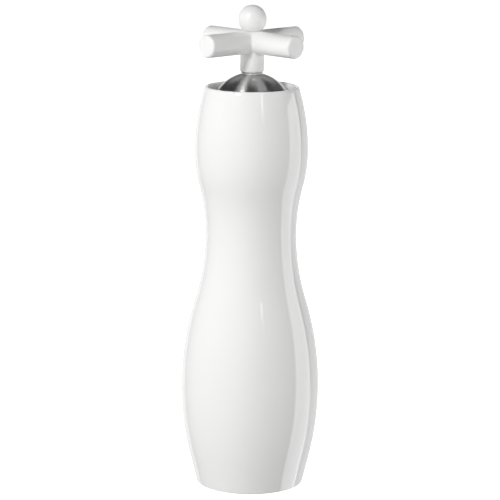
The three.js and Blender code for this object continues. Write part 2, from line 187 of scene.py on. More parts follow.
def mitres(outline):
    """How each corner of a loop moves when its sides move inwards by 1."""
    ahead = np.roll(outline, -1, axis=0) - outline
    ahead /= np.linalg.norm(ahead, axis=1, keepdims=True)
    behind = np.roll(ahead, 1, axis=0)
    inward = np.stack([-(ahead + behind)[:, 1], (ahead + behind)[:, 0]], axis=1)
    return inward / (1 + (ahead * behind).sum(axis=1))[:, None]


def plate(name, loops, bottom, top, edge=0.25):
    """A flat plate with rounded edges.

    The first loop of (x, y) points is its outline, anticlockwise. The others, clockwise, are its holes.
    """
    quarter = [math.radians(a) for a in (0, 30, 60, 90)]
    rows = [(edge * (1 - math.sin(a)), bottom + edge * (1 - math.cos(a))) for a in quarter]
    rows += [(inset, bottom + top - z) for inset, z in reversed(rows)]
    points, faces, first, last = [], [], [], []
    for loop in loops:
        outline = np.array(loop, float)
        inward = mitres(outline)
        count, start = len(outline), len(points)
        for inset, z in rows:
            points += [(x, y, z) for x, y in outline + inward * inset]
        for row in range(len(rows) - 1):
            base = start + row * count
            for i in range(count):
                j = (i + 1) % count
                faces.append((base + i, base + j, base + count + j, base + count + i))
        first += list(range(start, start + count))
        last += list(range(start + (len(rows) - 1) * count, len(points)))
    for cap in (first, last):
        ends = iter(cap)
        caps = [[Vector(points[next(ends)]) for _ in loop] for loop in loops]
        faces += [tuple(cap[i] for i in triangle) for triangle in tessellate_polygon(caps)]
    return mesh_object(name, points, faces)


def ring_loop(x, y, radius, hole=True, count=48):
    """A circle as a plate's loop: clockwise for a hole."""
    turn = -1 if hole else 1
    angles = turn * np.arange(count) * 2 * math.pi / count
    return [(x + radius * math.cos(a), y + radius * math.sin(a)) for a in angles]


def carve(piece, *cutters):
    """Cuts closed meshes out of a piece, and removes them."""
    for cutter in cutters:
        cut = piece.modifiers.new("cut", "BOOLEAN")
        cut.operation, cut.solver, cut.object = "DIFFERENCE", "EXACT", cutter
    mesh = bpy.data.meshes.new_from_object(piece.evaluated_get(bpy.context.evaluated_depsgraph_get()))
    piece.modifiers.clear()
    piece.data = mesh
    mesh.set_sharp_from_angle(angle=math.radians(SHARP))
    for cutter in cutters:
        bpy.data.objects.remove(cutter)
    return piece


def drill(piece, radius, bottom, top):
    """Drills the two holes that the housing's screws go through."""
    screw_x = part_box("housing_screw_right")
    x = (screw_x[0].x + screw_x[1].x) / 2 / MM
    bits = []
    for side in (-x, x):
        bit = spin("bit", [(0, bottom), (radius, bottom), (radius, top), (0, top)], 32)
        bit.data.transform(Matrix.Translation((side * MM, 0, 0)))
        bits.append(bit)
    return carve(piece, *bits)


# ------------------------------------------------------------------ the body


def drop(radius, dz):
    """How far an arc falls away from its tangent after dz."""
    return radius - math.sqrt(radius**2 - dz**2)


def blend_to_waist(z, r, bulge_arc):
    """The waist's arc on the side of a bulge, and the height where the two arcs meet."""
    dr, dz = r - WAIST_R, WAIST_Z - z
    both = (dr**2 + dz**2) / (2 * dr)
    return both - bulge_arc, z + dz * bulge_arc / both


def foot_slope():
    """How much the radius grows for each millimetre up the foot's straight taper."""
    below = BELLY_Z - FOOT_TAPER_TOP
    return below / math.sqrt(BELLY_ARC**2 - below**2)


def body_radius(z):
    """The body's outer radius at a height."""
    if z < FOOT_TAPER_TOP:
        return body_radius(FOOT_TAPER_TOP) - foot_slope() * (FOOT_TAPER_TOP - z)
    lower_arc, lower_meet = blend_to_waist(BELLY_Z, BELLY_R, BELLY_ARC)
    upper_arc, upper_meet = blend_to_waist(SHOULDER_Z, SHOULDER_R, SHOULDER_ARC_BELOW)
    if z < lower_meet:
        return BELLY_R - drop(BELLY_ARC, z - BELLY_Z)
    if z < WAIST_Z:
        return WAIST_R + drop(lower_arc, z - WAIST_Z)
    if z < upper_meet:
        return WAIST_R + drop(upper_arc, z - WAIST_Z)
    side_arc = SHOULDER_ARC_BELOW if z < SHOULDER_Z else SHOULDER_ARC_ABOVE
    return SHOULDER_R - drop(side_arc, z - SHOULDER_Z)


def foot_round():
    """The centre radius of the foot's round, tangent to the taper, and its tangent angle."""
    slope = foot_slope()
    return body_radius(FOOT_ROUND) - FOOT_ROUND * math.hypot(1, slope), -math.degrees(math.atan(slope))


def lip_round(z):
    """The centre radius of the lip's round at height z, tangent to the arc below it, and its angle."""
    reach = math.sqrt((SHOULDER_ARC_ABOVE - LIP_ROUND) ** 2 - (z - SHOULDER_Z) ** 2)
    return SHOULDER_R - SHOULDER_ARC_ABOVE + reach, math.degrees(math.atan2(z - SHOULDER_Z, reach))


def body_shell(name):
    """The hollow body: the outside, the neck down to its ledge, the chamber and the grinder's seat."""
    top = extent("mill_body")[1]
    foot_r, foot_angle = foot_round()
    lip_z = top - LIP_ROUND
    lip_r, lip_angle = lip_round(lip_z)
    foot = arc(foot_r, FOOT_ROUND, FOOT_ROUND, -90, foot_angle, 10)
    lip = arc(lip_r, lip_z, LIP_ROUND, lip_angle, 180, 12)
    heights = np.linspace(foot[-1][1], lip[0][1], 140)[1:-1]
    side = [(body_radius(z), z) for z in heights]
    neck_r = lip_r - LIP_ROUND
    bores = rounded([
        (neck_r, lip_z - 1),
        (neck_r, LEDGE_Z, 0.6),
        (CHAMBER_R, LEDGE_Z, 0.5),
        (CHAMBER_R, GRINDER_SEAT_TOP, 0.3),
        (GRINDER_SEAT_R, GRINDER_SEAT_TOP, 0.3),
        (GRINDER_SEAT_R, FOOT_RECESS_TOP, 0.4),
        (FOOT_RECESS_R, FOOT_RECESS_TOP, 0.4),
        (FOOT_RECESS_R, 0, 0.5),
        (foot_r, 0),
    ])
    shell = spin(name, foot + side + lip + bores[:-1], 192)
    pilot_r, pilot_low, pilot_top = SCREW_R + 0.05, FOOT_RECESS_TOP - 3, 20
    return drill(shell, pilot_r, pilot_low, pilot_top)


# ------------------------------------------------------------------ the grinder's fixed pieces


def housing(name):
    """The grinder's nylon sleeve: a flange at the foot, and steps inside for the ring and the bridge."""
    low, top, flange_r = extent("grinder_housing")
    flange_top = FOOT_RECESS_TOP - GAP
    bore_r, wall_r = 15.6, GRINDER_SEAT_R - 0.4
    ring_low, _, ring_r = extent("stator_ring")
    bridge_low, _, bridge_r = extent("guide_bridge")
    seat_z, seat_r = bridge_low - GAP, bridge_r + GAP
    made = spin(name, rounded([
        (bore_r, low, 0.5),
        (flange_r, low, 0.5),
        (flange_r, flange_top, 0.5),
        (wall_r, flange_top, 0.3),
        (wall_r, top, 0.5),
        (seat_r, top, 0.4),
        (seat_r, seat_z, 0.2),
        (ring_r + GAP, seat_z, 0.2),
        (ring_r + GAP, ring_low - GAP, 0.2),
        (bore_r, ring_low - GAP, 0.3),
    ]))
    drill_top = 15
    return drill(made, SCREW_R + GAP, 0, drill_top)


def teeth(count, depth, twist, picks, crest=0.75):
    """A radius function that raises saw teeth, highest at crest, on the points that picks chooses."""

    def shape(r, z, angle):
        if not picks(r, z):
            return r
        phase = (count * (angle + twist * z) / (2 * math.pi)) % 1
        rise = phase / crest if phase < crest else (1 - phase) / (1 - crest)
        return r + depth * rise

    return shape


def densified(outline, step=0.5):
    """An outline with extra points, so that no stretch is longer than step."""
    dense = []
    for (r0, z0), (r1, z1) in zip(outline, outline[1:]):
        parts = max(1, math.ceil(math.hypot(r1 - r0, z1 - z0) / step))
        dense += [(r0 + (r1 - r0) * k / parts, z0 + (z1 - z0) * k / parts) for k in range(parts)]
    return dense + [outline[-1]]


def stator(name):
    """The fixed ring of the grinder, toothed all the way down its mouth."""
    low, top, outer = extent("stator_ring")
    mouth = densified([(MOUTH_TOP_R, top), (THROAT_R, low + THROAT_RISE), (MOUTH_LOW_R, low)])
    rim = rounded([(MOUTH_LOW_R, low), (outer, low, 0.4), (outer, top, 0.4), (MOUTH_TOP_R, top)])
    shape = teeth(STATOR_TEETH, STATOR_TOOTH, TOOTH_TWIST, lambda r, z: r < MOUTH_TOP_R + 0.1)
    return spin(name, rim[1:-1] + mouth, STATOR_TEETH * 12, shape, sharp=20)


def bridge(name):
    """A steel ring and a boss joined by three spokes, with a window between each two."""
    low, top, outer = extent("guide_bridge")
    bore_r, boss_r, rim_r = 5.5, 8, 16.2
    spoke_half, spoke_taper = 0.2, 0.1  # in radians
    loops = [ring_loop(0, 0, outer, hole=False, count=96)]
    for third in range(3):
        start = 2 * math.pi * third / 3 + spoke_half
        end = 2 * math.pi * (third + 1) / 3 - spoke_half
        rim = [(rim_r * math.cos(a), rim_r * math.sin(a)) for a in np.linspace(end, start, 25)]
        angles = np.linspace(start + spoke_taper, end - spoke_taper, 17)
        loops.append(rim + [(boss_r * math.cos(a), boss_r * math.sin(a)) for a in angles])
    return plate(name, [*loops, ring_loop(0, 0, bore_r)], low, top)


def bridge_bush(name):
    """The flanged bearing in the bridge's boss."""
    low, top, flange_r = extent("bridge_bush")
    bore, tube = 4.2, 5.4
    step_z = extent("guide_bridge")[0] - 0.05
    return spin(name, rounded([
        (bore, low, 0.3),
        (flange_r, low, 0.3),
        (flange_r, step_z, 0.2),
        (tube, step_z, 0.1),
        (tube, top, 0.4),
        (bore, top, 0.4),
    ]), 96)


def bar(name):
    """The flat bar under the grinder, round at its ends, with holes for the shaft and the screws."""
    low, top, reach = extent("retaining_bar")
    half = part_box("retaining_bar")[1].y / MM
    shaft_hole, screw_hole = 2.9, 1.5
    right = np.linspace(-math.pi / 2, math.pi / 2, 25)
    straight = reach - half
    outline = [(straight + half * math.cos(a), half * math.sin(a)) for a in right]
    outline += [(-x, -y) for x, y in outline]
    low_screw, high_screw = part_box("housing_screw_right")
    screw_x = (low_screw.x + high_screw.x) / 2 / MM
    places = ((0, shaft_hole), (screw_x, screw_hole), (-screw_x, screw_hole))
    holes = [ring_loop(x, 0, radius) for x, radius in places]
    return plate(name, [outline, *holes], low, top, edge=0.35)


def screw(name, node):
    """A pan-head wood screw with a cross recess, its point up."""
    low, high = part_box(node)
    head_low, tip = low.z / MM, high.z / MM
    head_r = (high.x - low.x) / 2 / MM
    head_height, under_head, head_rim, head_curve = 1.7, 0.25, 1.1, 3.2
    head_top = head_low + head_height + under_head
    core, crest, pitch = SCREW_R - 0.35, SCREW_R, 1.1
    shank, point = 2, 1.5
    threads = []
    z = head_top + shank
    while z + pitch < tip - point:
        threads += [(core, z), (core, z + 0.45 * pitch), (crest, z + 0.75 * pitch)]
        z += pitch
    made = spin(name, [
        (0, head_low),
        *arc(0, head_low + head_curve, head_curve, -88, -45, 6),
        (head_r, head_low + head_rim),
        (head_r, head_top),
        (SCREW_R, head_top),
        (SCREW_R, head_top + shank),
        *threads,
        (0, tip),
    ], 48)
    carve(made, *(cross_slot(head_low, turn) for turn in (0, math.pi / 2)))
    made.data.transform(Matrix.Translation(((low.x + high.x) / 2, 0, 0)))
    return made


def cross_slot(head_low, turn):
    """One of the two crossed wedges that a screwdriver fits."""
    depth, width, reach = 1.2, 0.32, 1.45
    corners = [(reach, head_low - 1), (reach * 0.45, head_low + depth)]
    outline = [(-corners[0][0], corners[0][1]), *corners, (-corners[1][0], corners[1][1])]
    points = [(x, y, z) for y in (-width, width) for x, z in outline]
    faces = [(0, 1, 2, 3), (7, 6, 5, 4)] + [(i, (i + 1) % 4, (i + 1) % 4 + 4, i + 4) for i in range(4)]
    slot = mesh_object("slot", points, faces)
    slot.data.transform(Matrix.Rotation(turn, 4, "Z"))
    return slot


# ------------------------------------------------------------------ the dome


def dome_shell(name):
    """The spun hemisphere, rolled to a small flat at its crown, where the bearing passes through it."""
    low, top, radius = extent("dome_cover")
    centre = top - math.sqrt(radius**2 - CROWN_R**2)
    inner = radius - DOME_WALL
    crown = math.degrees(math.acos(CROWN_R / radius))
    inner_crown = math.degrees(math.asin((top - DOME_WALL - centre) / inner))
    outer_face = arc(0, centre, radius, 0, crown - 1, 60)
    hole = [(CROWN_HOLE, top, 0.15), (CROWN_HOLE, top - DOME_WALL)]
    rolled = rounded([outer_face[-1], (CROWN_R, top, 0.3), *hole])
    inner_face = arc(0, centre, inner, inner_crown, 0, 40)
    return spin(name, [(radius, low), *outer_face[:-1], *rolled, *inner_face, (inner, low)], 256, sharp=40)


def plug(name):
    """The plug under the dome: a skirt that fits the neck, grooved for its seal, a flange and a boss."""
    low, top, flange_r = extent("dome_plug")
    base = LEDGE_Z + GAP
    seal_low, seal_top, seal_r = extent("plug_seal")
    groove_low, groove_top = seal_low - 0.7, seal_top + 0.7
    groove_r = seal_r - (seal_top - seal_low) - 0.15
    bore, boss_r, hollow_r, skirt_r = 5.7, 7.6, 14, 17.4
    web_top = base + 3.1
    return spin(name, rounded([
        (bore, base, 0.3),
        (hollow_r, base, 0.8),
        (hollow_r, low, 0.6),
        (skirt_r, low, 0.6),
        (skirt_r, groove_low, 0.3),
        (groove_r, groove_low, 0.3),
        (groove_r, groove_top, 0.3),
        (skirt_r, groove_top, 0.3),
        (skirt_r, base, 0.3),
        (flange_r, base, 0.6),
        (flange_r, web_top, 0.6),
        (boss_r, web_top, 1),
        (boss_r, top, 0.4),
        (bore, top, 0.4),
    ]))


def seal(name):
    """The round ring in the plug's groove."""
    low, top, outer = extent("plug_seal")
    wire = (top - low) / 2
    return spin(name, arc(outer - wire, low + wire, wire, 0, 360, 20)[:-1])


def dome_bush(name):
    """The flanged bearing in the dome's crown, which the stem stands on."""
    low, top, flange_r = extent("dome_bush")
    bore, tube = 4.4, 5.4
    seat_z = extent("dome_cover")[1] + 0.02
    return spin(name, rounded([
        (bore, low, 0.3),
        (tube, low, 0.3),
        (tube, seat_z, 0.1),
        (flange_r, seat_z, 0.15),
        (flange_r, top, 0.2),
        (bore, top, 0.3),
    ]), 96)


def nut(name, node, bore, bevel=0.4):
    """A hexagon nut, its corners chamfered as on a lathe."""
    low, top, corner = extent(node)
    flat = corner * math.cos(math.pi / 6)
    chamfer_r, chamfer_slope = flat + 0.2, 1.7

    def shape(r, z, angle):
        if r < corner:
            return r
        side = (angle + math.pi / 6) % (math.pi / 3) - math.pi / 6
        chamfer = chamfer_r + chamfer_slope * min(z - low, top - z)
        return min(flat / math.cos(math.pi / 6 - abs(side)), chamfer)

    sides = [(corner, z) for z in np.linspace(low, top, 13)]
    outline = [(bore + bevel, low), *sides, (bore + bevel, top), (bore, top - bevel), (bore, low + bevel)]
    return spin(name, outline, 96, shape)


# ------------------------------------------------------------------ the cross handle


def rod_field(points, axis, centre, radius, half, edge):
    """Signed distance to a rod with rounded ends."""
    offset = points - np.array(centre)
    along = offset[:, axis]
    across = np.sqrt((offset**2).sum(axis=1) - along**2)
    outside = np.stack([across - radius + edge, np.abs(along) - half + edge], axis=1)
    return np.minimum(outside.max(axis=1), 0) + np.linalg.norm(np.maximum(outside, 0), axis=1) - edge


def soft_min(a, b, softness):
    """The lower of two distances, rounded where they meet."""
    h = np.maximum(softness - np.abs(a - b), 0) / softness
    return np.minimum(a, b) - h * h * softness / 4


def cross_field(points):
    """Signed distance to the cross handle's surface, in millimetres."""
    low, top, reach = extent("cross_handle")
    arm_z = top - ARM_R
    arms = [rod_field(points, axis, (0, 0, arm_z), ARM_R, reach, ARM_ROUND) for axis in (0, 1)]
    stem_half = (arm_z - low) / 2
    stem = rod_field(points, 2, (0, 0, low + stem_half), STEM_R, stem_half, STEM_ROUND)
    solid = soft_min(soft_min(*arms, CREASE), stem, CREASE)
    _, knob_top, knob_r = extent("knob_ball")
    knob_z = knob_top - knob_r
    seat = np.linalg.norm(points - np.array((0, 0, knob_z)), axis=1) - knob_r - SEAT_GAP
    solid = -soft_min(-solid, seat, SEAT_EDGE)
    _, socket_top, socket_r = extent("handle_socket")
    sleeve_top = socket_top + GAP
    bores = ((socket_r + 0.1, sleeve_top), (WELL_R, sleeve_top + WELL_DEPTH), (SHAFT_HOLE_R, knob_z))
    for radius, bore_top in bores:
        half = (bore_top - low + BORE_START) / 2
        bore = rod_field(points, 2, (0, 0, bore_top - half), radius, half, 0.01)
        solid = -soft_min(-solid, bore, BORE_EDGE)
    return solid


def onto_field(points, field, nudge=0.02):
    """Moves points one Newton step towards the surface where the field is zero."""
    slopes = []
    for axis in range(3):
        step = np.zeros(3)
        step[axis] = nudge
        slopes.append((field(points + step) - field(points - step)) / (2 * nudge))
    slope = np.stack(slopes, axis=1)
    steepness = np.maximum((slope**2).sum(axis=1), 0.2)
    move = slope * (field(points) / steepness)[:, None]
    length = np.linalg.norm(move, axis=1, keepdims=True)
    return points - move * np.minimum(1, 0.3 / np.maximum(length, 1e-9))


def relaxed(points, edges, amount):
    """Moves each point towards the mean of its neighbours."""
    ends = np.concatenate([edges, edges[:, ::-1]])
    counts = np.bincount(ends[:, 0], minlength=len(points))[:, None]
    sums = np.stack([np.bincount(ends[:, 0], points[ends[:, 1], k], len(points)) for k in range(3)], axis=1)
    return points + amount * (sums / counts - points)


def cross(name):
    """The cross: the CAD solid, cut into small even quads that are then drawn onto the blended form."""
    made = bpy.data.objects.new(name, frame["nodes"]["cross_handle"].data.copy())
    bpy.context.scene.collection.objects.link(made)
    remesh = made.modifiers.new("even", "REMESH")
    remesh.mode, remesh.voxel_size = "VOXEL", VOXEL * MM
    mesh = bpy.data.meshes.new_from_object(made.evaluated_get(bpy.context.evaluated_depsgraph_get()))
    made.modifiers.clear()
    made.data = mesh
    points = np.empty(len(mesh.vertices) * 3)
    mesh.vertices.foreach_get("co", points)
    points = points.reshape(-1, 3) / MM
    edges = np.empty(len(mesh.edges) * 2, int)
    mesh.edges.foreach_get("vertices", edges)
    edges = edges.reshape(-1, 2)
    for amount in SMOOTHING:
        points = onto_field(relaxed(points, edges, amount), cross_field)
    mesh.vertices.foreach_set("co", (points * MM).ravel())
    mesh.materials.clear()
    mesh.update()
    mesh.shade_smooth()
    return made


def square_reach(half, corner_r, angle):
    """The radius of a square bar with turned corners, at an angle from the middle of a flat."""
    return min(corner_r, half / max(abs(math.cos(angle)), abs(math.sin(angle))))


def square_hole(half, angle):
    """The radius of a square hole with sharp corners, at an angle from the middle of a flat."""
    return square_reach(half, 2 * half, angle)


def socket(name):
    """The steel sleeve in the stem, round outside, with a square hole for the shaft."""
    low, top, outer = extent("handle_socket")
    bore, bevel = 3.2, 0.2

    def shape(r, z, angle):
        return square_hole(r, angle) if r < bore + 2 * bevel else r

    outline = [(bore, low, bevel), (outer, low, 0.3), (outer, top, 0.3), (bore, top, bevel)]
    return spin(name, rounded(outline), 144, shape)


def washer(name, node, bore, edge=0.15):
    """A flat round washer."""
    low, top, outer = extent(node)
    outline = [(bore, low, edge), (outer, low, edge), (outer, top, edge), (bore, top, edge)]
    return spin(name, rounded(outline), 96)


# ------------------------------------------------------------------ the knob


def knob(name):
    """The ball, with a flat underneath and a blind bore that takes the insert."""
    low, top, radius = extent("knob_ball")
    centre = top - radius
    flat_angle = -math.degrees(math.asin((centre - low) / radius))
    flat_r = radius * math.cos(math.radians(flat_angle))
    bore, bore_top = 4.0, extent("knob_insert")[1] + 0.1
    ball = arc(0, centre, radius, flat_angle + 3, 90, 72)
    foot = rounded([(bore, bore_top), (bore, low, 0.2), (flat_r, low, 0.3), ball[0]])
    return spin(name, [(0, bore_top), *foot[:-1], *ball[:-1], (0, top)], 144, sharp=50)


def insert(name):
    """The threaded brass insert, knurled where the wood holds it."""
    low, top, outer = extent("knob_insert")
    bore, blind, bevel, edge = THREAD_R + 0.1, top - 1.1, 0.3, 0.4
    ridges, ridge = 20, 0.15

    def knurl(r, z, angle):
        held = r > outer - 0.2 and low + 1 < z < top - 0.5
        return r + ridge * abs(math.sin(ridges * angle)) if held else r

    flank = [(outer - 0.1, z) for z in np.linspace(low + bevel, top - bevel, 24)]
    mouth = [(0, blind), (bore, blind), (bore, low + bevel), (bore + bevel, low), (outer - edge, low)]
    return spin(name, [*mouth, *flank, (outer - edge, top), (0, top)], 160, knurl)


# ------------------------------------------------------------------ the spindle


def thread(bottom, top, radius, segments=48, rows=10, runout=0.5):
    """Points and faces of a right-hand threaded rod, faded over runout at its ends.

    Each row of points climbs with the helix.
    """
    count = math.ceil((top - bottom) / THREAD_PITCH) * rows + 2 * rows
    points = []
    for row in range(count + 1):
        crest = 0.5 - 0.5 * math.cos(2 * math.pi * row / rows)
        for i in range(segments + 1):
            z = bottom + (row / rows - 1 + i / segments) * THREAD_PITCH
            z = min(max(z, bottom), top)
            fade = min(1, (z - bottom) / runout, (top - z) / runout)
            angle = 2 * math.pi * i / segments
            reach = radius - THREAD_DEPTH + THREAD_DEPTH * crest * fade
            points.append((reach * math.cos(angle), reach * math.sin(angle), z))
    width = segments + 1
    faces = []
    for row in range(count):
        for i in range(segments):
            low = row * width + i
            faces.append((low, low + 1, low + width + 1, low + width))
    return points, faces


def welded(made, distance=0.002):
    """Joins a mesh's coincident points and closes what is left open with flat faces."""
    work = bmesh.new()
    work.from_mesh(made.data)
    bmesh.ops.remove_doubles(work, verts=work.verts, dist=distance * MM)
    bmesh.ops.dissolve_degenerate(work, edges=work.edges, dist=distance * MM / 10)
    bmesh.ops.holes_fill(work, edges=[e for e in work.edges if e.is_boundary], sides=0)
    bmesh.ops.recalc_face_normals(work, faces=work.faces)
    work.to_mesh(made.data)
    work.free()
    made.data.shade_smooth()
    made.data.set_sharp_from_angle(angle=math.radians(SHARP))
    return made


def shaft(name):
    """The square bar, with a threaded end above and below. The three bodies meet face to face inside it."""
    low, top, _ = extent("drive_shaft")
    bar_low, bar_top, bevel = 10.9, 259.5, 0.3

    def turned(r, z, angle):
        if r < THREAD_R:
            return r
        return square_reach(SQUARE_HALF, SQUARE_CORNER_R, angle) - (SQUARE_HALF - r)

    foot = [
        (THREAD_R - THREAD_DEPTH, bar_low),
        (SQUARE_HALF - bevel, bar_low),
        (SQUARE_HALF, bar_low + bevel),
    ]
    head = [(r, bar_low + bar_top - z) for r, z in reversed(foot)]
    side = [(SQUARE_HALF, z) for z in np.linspace(bar_low + 1, bar_top - 1, 12)]
    made = spin(name, [(0, bar_low), *foot, *side, *head, (0, bar_top)], 144, turned)
    for bottom, end in ((low, bar_low), (bar_top, top)):
        merge(made, welded(mesh_object("rod", *thread(bottom, end, THREAD_R))))
    return made


def merge(piece, other):
    """Adds another object's mesh to a piece, and removes the other."""
    work = bmesh.new()
    work.from_mesh(piece.data)
    work.from_mesh(other.data)
    work.to_mesh(piece.data)
    work.free()
    bpy.data.objects.remove(other)


def rotor(name):
    """The toothed cone. Its teeth follow the ring's lower cone at an even gap, up to a narrow nose."""
    low, top, _ = extent("rotor")
    stator_low = extent("stator_ring")[0]
    slope = (THROAT_R - MOUTH_LOW_R) / THROAT_RISE
    gap, nose_r, bore, bevel = 0.85, 6.5, 3.1, 0.2
    skirt_z, throat_z = low + 0.8, stator_low + THROAT_RISE

    def root(z):
        return MOUTH_LOW_R + slope * (z - stator_low) - gap - ROTOR_TOOTH

    cone = densified([(root(skirt_z), skirt_z), (root(throat_z), throat_z), (nose_r, top - 0.4)])
    raised = teeth(ROTOR_TEETH, ROTOR_TOOTH, -TOOTH_TWIST, lambda r, z: r > nose_r + 0.1 and z > low + 0.4)

    def shape(r, z, angle):
        return square_hole(r, angle) if r < bore + 2 * bevel else raised(r, z, angle)

    foot = [(bore, low + bevel), (bore + bevel, low), (root(low) - 0.5, low)]
    head = [(nose_r - 0.4, top), (bore + bevel, top), (bore, top - bevel)]
    return spin(name, foot + cone + head, ROTOR_TEETH * 16, shape, sharp=20)


def spring(name, turns=3, around=14):
    """A compression spring whose end coils lie closer than the others."""
    low, top, outer = extent("grinder_spring")
    wire, crowding = 0.6, 0.35
    coil = outer - wire
    steps = 48 * turns
    points, faces = [], []
    for step in range(steps + 1):
        t = step / steps
        rise = t - crowding * math.sin(2 * math.pi * t) / (2 * math.pi)
        angle = 2 * math.pi * turns * t
        z = low + wire + (top - low - 2 * wire) * rise
        for k in range(around):
            turn = 2 * math.pi * k / around
            reach = coil + wire * math.cos(turn)
            points.append((reach * math.cos(angle), reach * math.sin(angle), z + wire * math.sin(turn)))
    for step in range(steps):
        for k in range(around):
            here, ahead = step * around + k, step * around + (k + 1) % around
            faces.append((here, ahead, ahead + around, here + around))
    faces += [tuple(range(around)), tuple(range(steps * around, (steps + 1) * around))]
    return mesh_object(name, points, faces)


# ------------------------------------------------------------------ materials


def principled(name, **constants):
    """A material with one Principled shader. Constants are its sockets, with _ for a space."""
    material = bpy.data.materials.new(name)
    material.use_nodes = True
    surface = material.node_tree.nodes["Principled BSDF"]
    for key, value in constants.items():
        surface.inputs[key.replace("_", " ")].default_value = value
    return material, material.node_tree, surface


def add(tree, kind, inputs=None, **settings):
    """Adds a shader node. Inputs are values, or other nodes' outputs to link."""
    made = tree.nodes.new("ShaderNode" + kind)
    for key, value in settings.items():
        setattr(made, key, value)
    for key, value in (inputs or {}).items():
        if isinstance(value, bpy.types.NodeSocket):
            tree.links.new(value, made.inputs[key])
        else:
            made.inputs[key].default_value = value
    return made


def maths(tree, operation, a, b=0.0):
    """The result of one Math node."""
    return add(tree, "Math", {0: a, 1: b}, operation=operation).outputs[0]


def position(tree):
    """The piece's own coordinates, in metres."""
    return add(tree, "TexCoord").outputs["Object"]


def noise(tree, vector, scale, detail=3.0):
    """Cloudy noise from 0 to 1."""
    return add(tree, "TexNoise", {"Vector": vector, "Scale": scale, "Detail": detail}).outputs["Fac"]


def spread(tree, value, low, high):
    """Maps 0 to 1 onto low to high."""
    return add(tree, "MapRange", {"Value": value, "To Min": low, "To Max": high}).outputs["Result"]


def mix(tree, factor, a, b):
    """A blend of two colours, each a triple or another node's output."""
    made = add(tree, "Mix", {"Factor": factor}, data_type="RGBA")
    colours = [s for s in made.inputs if s.type == "RGBA"]
    for socket_in, value in zip(colours, (a, b)):
        if isinstance(value, bpy.types.NodeSocket):
            tree.links.new(value, socket_in)
        else:
            socket_in.default_value = (*value, 1)
    return [s for s in made.outputs if s.type == "RGBA"][0]


def bump(tree, surface, height, strength, distance):
    """Dents the surface's normal by a height from 0 to 1 that stands for distance, in metres."""
    made = add(tree, "Bump", {"Height": height, "Strength": strength, "Distance": distance})
    tree.links.new(made.outputs["Normal"], surface.inputs["Normal"])


def polar(tree):
    """The piece's cylindrical coordinates: a unit vector for the angle, the radius and the height."""
    split = add(tree, "SeparateXYZ", {0: position(tree)})
    flat = add(tree, "CombineXYZ", {0: split.outputs[0], 1: split.outputs[1]}).outputs[0]
    radius = add(tree, "VectorMath", {0: flat}, operation="LENGTH").outputs["Value"]
    heading = add(tree, "VectorMath", {0: flat}, operation="NORMALIZE").outputs["Vector"]
    return heading, radius, split.outputs[2]


def lathe_lines(tree, fineness, smear):
    """Noise in rings round Z, like the marks of a lathe: fineness per metre across, smear round."""
    heading, radius, z = polar(tree)
    outward = maths(tree, "MULTIPLY", radius, fineness)
    across = maths(tree, "ADD", outward, maths(tree, "MULTIPLY", z, fineness))
    smeared = add(tree, "VectorMath", {0: heading, "Scale": smear}, operation="SCALE").outputs["Vector"]
    values = {"Vector": smeared, "W": across, "Scale": 1.0, "Detail": 3.0}
    return add(tree, "TexNoise", values, noise_dimensions="4D").outputs["Fac"]


def beech(tree):
    """Bare turned beech: colour, roughness and height. The grain runs up Z, with short dark flecks."""
    where = position(tree)
    long_grain = add(tree, "Mapping", {"Vector": where, "Scale": (1, 1, 0.06)}).outputs[0]
    flecks = add(tree, "Mapping", {"Vector": where, "Scale": (1, 1, 0.22)}).outputs[0]
    grain = noise(tree, long_grain, 420, 5)
    limits = {"From Min": 0.62, "From Max": 0.7}
    fleck = add(tree, "MapRange", {"Value": noise(tree, flecks, 1500, 1), **limits})
    colour = mix(tree, grain, (0.63, 0.42, 0.25), (0.80, 0.60, 0.40))
    colour = mix(tree, maths(tree, "MULTIPLY", fleck.outputs["Result"], 0.45), colour, (0.38, 0.22, 0.12))
    return colour, spread(tree, grain, 0.5, 0.68), lathe_lines(tree, 2600, 3)


def white_lacquer():
    """Opaque gloss white outside and in the neck; bare beech below the ledge and in the foot's recess."""
    material, tree, surface = principled("white_lacquer", IOR=1.55)
    where = position(tree)
    cloud = noise(tree, where, 18, 2)
    paint = mix(tree, cloud, (0.845, 0.845, 0.838), (0.865, 0.866, 0.860))
    wood, wood_roughness, wood_height = beech(tree)
    _, radius, z = polar(tree)
    inside = maths(tree, "LESS_THAN", radius, (FOOT_RECESS_R + 0.25) * MM)
    bare = maths(tree, "MULTIPLY", inside, maths(tree, "LESS_THAN", z, (LEDGE_Z + 0.2) * MM))
    tree.links.new(mix(tree, bare, paint, wood), surface.inputs["Base Color"])
    gloss = spread(tree, noise(tree, where, 60, 2), 0.045, 0.065)
    roughness = add(tree, "Mix", {0: bare, 2: gloss, 3: wood_roughness})
    tree.links.new(roughness.outputs[0], surface.inputs["Roughness"])
    peel = maths(tree, "MULTIPLY", noise(tree, where, 420, 1), 0.02)
    height = add(tree, "Mix", {0: bare, 2: peel, 3: wood_height}).outputs[0]
    bump(tree, surface, height, 0.5, 0.00015)
    return material


def white_satin():
    """The handle's and the knob's satin white, with the faint texture of sprayed lacquer."""
    material, tree, surface = principled("white_satin", IOR=1.48)
    where = position(tree)
    paint = mix(tree, noise(tree, where, 40, 2), (0.84, 0.84, 0.833), (0.87, 0.87, 0.863))
    tree.links.new(paint, surface.inputs["Base Color"])
    tree.links.new(spread(tree, noise(tree, where, 900, 2), 0.24, 0.34), surface.inputs["Roughness"])
    bump(tree, surface, noise(tree, where, 1400, 2), 0.15, 0.00003)
    return material


